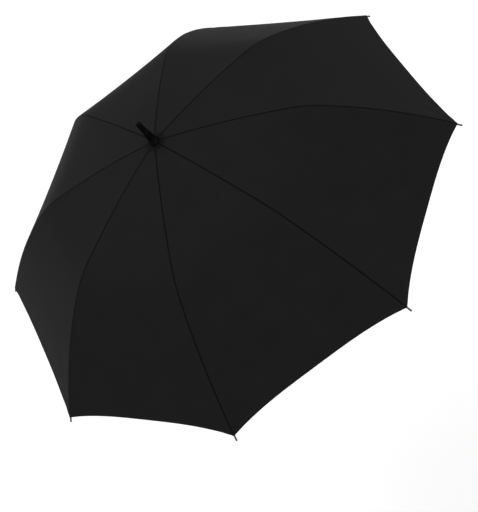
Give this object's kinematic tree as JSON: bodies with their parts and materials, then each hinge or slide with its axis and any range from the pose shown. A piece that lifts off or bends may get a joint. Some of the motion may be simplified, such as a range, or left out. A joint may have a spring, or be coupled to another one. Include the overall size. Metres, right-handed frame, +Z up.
{
  "type": "golf umbrella",
  "caption": "Large black stick umbrella, shown open: domed canopy on flexible ribs and stretchers, a sliding runner, a long ferrule and a straight grip.",
  "frame": {"origin": "middle of the grip, on the shaft's axis", "axes": "+Z up the shaft from the grip to the ferrule; +X towards the middle of a canopy panel, over the spring catches; +Y to its left"},
  "size_m": [1.1874, 1.1874, 0.9507],
  "materials": {
    "shaft_coat": "satin black coat on a steel tube",
    "hub_plastic": "moulded black nylon",
    "ferrule_plastic": "moulded black plastic, satin",
    "grip": "rubber-like foam, matt",
    "wire": "plated spring steel",
    "rib_rod": "pultruded black fibreglass",
    "tip": "moulded black plastic",
    "cloth": "black pongee, fine plain weave, low sheen"
  },
  "bodies": {
    "shaft_assembly": {"shaft": "shaft_coat", "crown_hub": "hub_plastic", "crown_wire": "wire", "ferrule": "ferrule_plastic", "handle": "grip", "handle_cap": "grip"},
    "rib_inner_1": {"rib_inner_1": "rib_rod"},
    "rib_mid_1": {"rib_mid_1": "rib_rod", "gore_1": "cloth"},
    "rib_outer_1": {"rib_outer_1": "rib_rod", "rib_tip_1": "tip"},
    "stretcher_1": {"stretcher_1": "rib_rod"},
    "rib_inner_2": {"rib_inner_2": "rib_rod"},
    "rib_mid_2": {"rib_mid_2": "rib_rod", "gore_2": "cloth"},
    "rib_outer_2": {"rib_outer_2": "rib_rod", "rib_tip_2": "tip"},
    "stretcher_2": {"stretcher_2": "rib_rod"},
    "rib_inner_3": {"rib_inner_3": "rib_rod"},
    "rib_mid_3": {"rib_mid_3": "rib_rod", "gore_3": "cloth"},
    "rib_outer_3": {"rib_outer_3": "rib_rod", "rib_tip_3": "tip"},
    "stretcher_3": {"stretcher_3": "rib_rod"},
    "rib_inner_4": {"rib_inner_4": "rib_rod"},
    "rib_mid_4": {"rib_mid_4": "rib_rod", "gore_4": "cloth"},
    "rib_outer_4": {"rib_outer_4": "rib_rod", "rib_tip_4": "tip"},
    "stretcher_4": {"stretcher_4": "rib_rod"},
    "rib_inner_5": {"rib_inner_5": "rib_rod"},
    "rib_mid_5": {"rib_mid_5": "rib_rod", "gore_5": "cloth"},
    "rib_outer_5": {"rib_outer_5": "rib_rod", "rib_tip_5": "tip"},
    "stretcher_5": {"stretcher_5": "rib_rod"},
    "rib_inner_6": {"rib_inner_6": "rib_rod"},
    "rib_mid_6": {"rib_mid_6": "rib_rod", "gore_6": "cloth"},
    "rib_outer_6": {"rib_outer_6": "rib_rod", "rib_tip_6": "tip"},
    "stretcher_6": {"stretcher_6": "rib_rod"},
    "rib_inner_7": {"rib_inner_7": "rib_rod"},
    "rib_mid_7": {"rib_mid_7": "rib_rod", "gore_7": "cloth", "tie_strap": "cloth"},
    "rib_outer_7": {"rib_outer_7": "rib_rod", "rib_tip_7": "tip"},
    "stretcher_7": {"stretcher_7": "rib_rod"},
    "rib_inner_8": {"rib_inner_8": "rib_rod"},
    "rib_mid_8": {"rib_mid_8": "rib_rod", "gore_8": "cloth"},
    "rib_outer_8": {"rib_outer_8": "rib_rod", "rib_tip_8": "tip"},
    "stretcher_8": {"stretcher_8": "rib_rod"},
    "runner": {"runner": "hub_plastic", "runner_wire": "wire"},
    "top_catch": {"top_catch": "wire"},
    "bottom_catch": {"bottom_catch": "wire"}
  },
  "joints": [
    {"name": "fold", "type": "hinge", "parent": "shaft_assembly", "child": "rib_inner_1", "pos_m": [0.01063, 0.0044, 0.808], "axis": [-0.3827, 0.9239, 0], "range_deg": [0, 76.63], "deforming": ["gore_1", "gore_2", "gore_3", "gore_4", "gore_5", "gore_6", "gore_7", "gore_8", "tie_strap"]},
    {"name": "stretcher_1_turn", "type": "hinge", "parent": "rib_inner_1", "child": "stretcher_1", "pos_m": [0.30833, 0.12771, 0.73675], "axis": [-0.3827, 0.9239, 0], "range_deg": [-153.26, 0]},
    {"name": "rib_1_flex_a", "type": "hinge", "parent": "rib_inner_1", "child": "rib_mid_1", "pos_m": [0.32805, 0.13589, 0.73797], "axis": [-0.3827, 0.9239, 0], "range_deg": [-23.37, 0]},
    {"name": "rib_1_flex_b", "type": "hinge", "parent": "rib_mid_1", "child": "rib_outer_1", "pos_m": [0.47359, 0.19617, 0.62147], "axis": [-0.3827, 0.9239, 0], "range_deg": [-11.04, 0]},
    {"name": "rib_2_fold", "type": "hinge", "parent": "shaft_assembly", "child": "rib_inner_2", "pos_m": [0.0044, 0.01063, 0.808], "axis": [-0.9239, 0.3827, 0], "range_deg": [0, 76.63]},
    {"name": "stretcher_2_turn", "type": "hinge", "parent": "rib_inner_2", "child": "stretcher_2", "pos_m": [0.12771, 0.30833, 0.73675], "axis": [-0.9239, 0.3827, 0], "range_deg": [-153.26, 0]},
    {"name": "rib_2_flex_a", "type": "hinge", "parent": "rib_inner_2", "child": "rib_mid_2", "pos_m": [0.13589, 0.32805, 0.73797], "axis": [-0.9239, 0.3827, 0], "range_deg": [-23.37, 0]},
    {"name": "rib_2_flex_b", "type": "hinge", "parent": "rib_mid_2", "child": "rib_outer_2", "pos_m": [0.19617, 0.47359, 0.62147], "axis": [-0.9239, 0.3827, 0], "range_deg": [-11.04, 0]},
    {"name": "rib_3_fold", "type": "hinge", "parent": "shaft_assembly", "child": "rib_inner_3", "pos_m": [-0.0044, 0.01063, 0.808], "axis": [-0.9239, -0.3827, 0], "range_deg": [0, 76.63]},
    {"name": "stretcher_3_turn", "type": "hinge", "parent": "rib_inner_3", "child": "stretcher_3", "pos_m": [-0.12771, 0.30833, 0.73675], "axis": [-0.9239, -0.3827, 0], "range_deg": [-153.26, 0]},
    {"name": "rib_3_flex_a", "type": "hinge", "parent": "rib_inner_3", "child": "rib_mid_3", "pos_m": [-0.13589, 0.32805, 0.73797], "axis": [-0.9239, -0.3827, 0], "range_deg": [-23.37, 0]},
    {"name": "rib_3_flex_b", "type": "hinge", "parent": "rib_mid_3", "child": "rib_outer_3", "pos_m": [-0.19617, 0.47359, 0.62147], "axis": [-0.9239, -0.3827, 0], "range_deg": [-11.04, 0]},
    {"name": "rib_4_fold", "type": "hinge", "parent": "shaft_assembly", "child": "rib_inner_4", "pos_m": [-0.01063, 0.0044, 0.808], "axis": [-0.3827, -0.9239, 0], "range_deg": [0, 76.63]},
    {"name": "stretcher_4_turn", "type": "hinge", "parent": "rib_inner_4", "child": "stretcher_4", "pos_m": [-0.30833, 0.12771, 0.73675], "axis": [-0.3827, -0.9239, 0], "range_deg": [-153.26, 0]},
    {"name": "rib_4_flex_a", "type": "hinge", "parent": "rib_inner_4", "child": "rib_mid_4", "pos_m": [-0.32805, 0.13589, 0.73797], "axis": [-0.3827, -0.9239, 0], "range_deg": [-23.37, 0]},
    {"name": "rib_4_flex_b", "type": "hinge", "parent": "rib_mid_4", "child": "rib_outer_4", "pos_m": [-0.47359, 0.19617, 0.62147], "axis": [-0.3827, -0.9239, 0], "range_deg": [-11.04, 0]},
    {"name": "rib_5_fold", "type": "hinge", "parent": "shaft_assembly", "child": "rib_inner_5", "pos_m": [-0.01063, -0.0044, 0.808], "axis": [0.3827, -0.9239, 0], "range_deg": [0, 76.63]},
    {"name": "stretcher_5_turn", "type": "hinge", "parent": "rib_inner_5", "child": "stretcher_5", "pos_m": [-0.30833, -0.12771, 0.73675], "axis": [0.3827, -0.9239, 0], "range_deg": [-153.26, 0]},
    {"name": "rib_5_flex_a", "type": "hinge", "parent": "rib_inner_5", "child": "rib_mid_5", "pos_m": [-0.32805, -0.13589, 0.73797], "axis": [0.3827, -0.9239, 0], "range_deg": [-23.37, 0]},
    {"name": "rib_5_flex_b", "type": "hinge", "parent": "rib_mid_5", "child": "rib_outer_5", "pos_m": [-0.47359, -0.19617, 0.62147], "axis": [0.3827, -0.9239, 0], "range_deg": [-11.04, 0]},
    {"name": "rib_6_fold", "type": "hinge", "parent": "shaft_assembly", "child": "rib_inner_6", "pos_m": [-0.0044, -0.01063, 0.808], "axis": [0.9239, -0.3827, 0], "range_deg": [0, 76.63]},
    {"name": "stretcher_6_turn", "type": "hinge", "parent": "rib_inner_6", "child": "stretcher_6", "pos_m": [-0.12771, -0.30833, 0.73675], "axis": [0.9239, -0.3827, 0], "range_deg": [-153.26, 0]},
    {"name": "rib_6_flex_a", "type": "hinge", "parent": "rib_inner_6", "child": "rib_mid_6", "pos_m": [-0.13589, -0.32805, 0.73797], "axis": [0.9239, -0.3827, 0], "range_deg": [-23.37, 0]},
    {"name": "rib_6_flex_b", "type": "hinge", "parent": "rib_mid_6", "child": "rib_outer_6", "pos_m": [-0.19617, -0.47359, 0.62147], "axis": [0.9239, -0.3827, 0], "range_deg": [-11.04, 0]},
    {"name": "rib_7_fold", "type": "hinge", "parent": "shaft_assembly", "child": "rib_inner_7", "pos_m": [0.0044, -0.01063, 0.808], "axis": [0.9239, 0.3827, 0], "range_deg": [0, 76.63]},
    {"name": "stretcher_7_turn", "type": "hinge", "parent": "rib_inner_7", "child": "stretcher_7", "pos_m": [0.12771, -0.30833, 0.73675], "axis": [0.9239, 0.3827, 0], "range_deg": [-153.26, 0]},
    {"name": "rib_7_flex_a", "type": "hinge", "parent": "rib_inner_7", "child": "rib_mid_7", "pos_m": [0.13589, -0.32805, 0.73797], "axis": [0.9239, 0.3827, 0], "range_deg": [-23.37, 0]},
    {"name": "rib_7_flex_b", "type": "hinge", "parent": "rib_mid_7", "child": "rib_outer_7", "pos_m": [0.19617, -0.47359, 0.62147], "axis": [0.9239, 0.3827, 0], "range_deg": [-11.04, 0]},
    {"name": "rib_8_fold", "type": "hinge", "parent": "shaft_assembly", "child": "rib_inner_8", "pos_m": [0.01063, -0.0044, 0.808], "axis": [0.3827, 0.9239, 0], "range_deg": [0, 76.63]},
    {"name": "stretcher_8_turn", "type": "hinge", "parent": "rib_inner_8", "child": "stretcher_8", "pos_m": [0.30833, -0.12771, 0.73675], "axis": [0.3827, 0.9239, 0], "range_deg": [-153.26, 0]},
    {"name": "rib_8_flex_a", "type": "hinge", "parent": "rib_inner_8", "child": "rib_mid_8", "pos_m": [0.32805, -0.13589, 0.73797], "axis": [0.3827, 0.9239, 0], "range_deg": [-23.37, 0]},
    {"name": "rib_8_flex_b", "type": "hinge", "parent": "rib_mid_8", "child": "rib_outer_8", "pos_m": [0.47359, -0.19617, 0.62147], "axis": [0.3827, 0.9239, 0], "range_deg": [-11.04, 0]},
    {"name": "runner_travel", "type": "hinge", "parent": "stretcher_1", "child": "runner", "pos_m": [0.01063, 0.0044, 0.66551], "axis": [-0.3827, 0.9239, 0], "range_deg": [0, 76.63]},
    {"name": "upper_catch_press", "type": "slide", "parent": "shaft_assembly", "child": "top_catch", "axis": [-1, 0, 0], "range_m": [0, 0.0024], "stiffness_N_per_m": 600, "springref_m": -0.002},
    {"name": "lower_catch_press", "type": "slide", "parent": "shaft_assembly", "child": "bottom_catch", "axis": [-1, 0, 0], "range_m": [0, 0.0024], "stiffness_N_per_m": 600, "springref_m": -0.002}
  ],
  "couplings": [
    {"joint": "stretcher_1_turn", "follows": "fold", "ratio": -2},
    {"joint": "rib_1_flex_a", "follows": "fold", "ratio": -0.305},
    {"joint": "rib_1_flex_b", "follows": "fold", "ratio": -0.144},
    {"joint": "rib_2_fold", "follows": "fold", "ratio": 1},
    {"joint": "stretcher_2_turn", "follows": "fold", "ratio": -2},
    {"joint": "rib_2_flex_a", "follows": "fold", "ratio": -0.305},
    {"joint": "rib_2_flex_b", "follows": "fold", "ratio": -0.144},
    {"joint": "rib_3_fold", "follows": "fold", "ratio": 1},
    {"joint": "stretcher_3_turn", "follows": "fold", "ratio": -2},
    {"joint": "rib_3_flex_a", "follows": "fold", "ratio": -0.305},
    {"joint": "rib_3_flex_b", "follows": "fold", "ratio": -0.144},
    {"joint": "rib_4_fold", "follows": "fold", "ratio": 1},
    {"joint": "stretcher_4_turn", "follows": "fold", "ratio": -2},
    {"joint": "rib_4_flex_a", "follows": "fold", "ratio": -0.305},
    {"joint": "rib_4_flex_b", "follows": "fold", "ratio": -0.144},
    {"joint": "rib_5_fold", "follows": "fold", "ratio": 1},
    {"joint": "stretcher_5_turn", "follows": "fold", "ratio": -2},
    {"joint": "rib_5_flex_a", "follows": "fold", "ratio": -0.305},
    {"joint": "rib_5_flex_b", "follows": "fold", "ratio": -0.144},
    {"joint": "rib_6_fold", "follows": "fold", "ratio": 1},
    {"joint": "stretcher_6_turn", "follows": "fold", "ratio": -2},
    {"joint": "rib_6_flex_a", "follows": "fold", "ratio": -0.305},
    {"joint": "rib_6_flex_b", "follows": "fold", "ratio": -0.144},
    {"joint": "rib_7_fold", "follows": "fold", "ratio": 1},
    {"joint": "stretcher_7_turn", "follows": "fold", "ratio": -2},
    {"joint": "rib_7_flex_a", "follows": "fold", "ratio": -0.305},
    {"joint": "rib_7_flex_b", "follows": "fold", "ratio": -0.144},
    {"joint": "rib_8_fold", "follows": "fold", "ratio": 1},
    {"joint": "stretcher_8_turn", "follows": "fold", "ratio": -2},
    {"joint": "rib_8_flex_a", "follows": "fold", "ratio": -0.305},
    {"joint": "rib_8_flex_b", "follows": "fold", "ratio": -0.144},
    {"joint": "runner_travel", "follows": "fold", "ratio": 1}
  ]
}
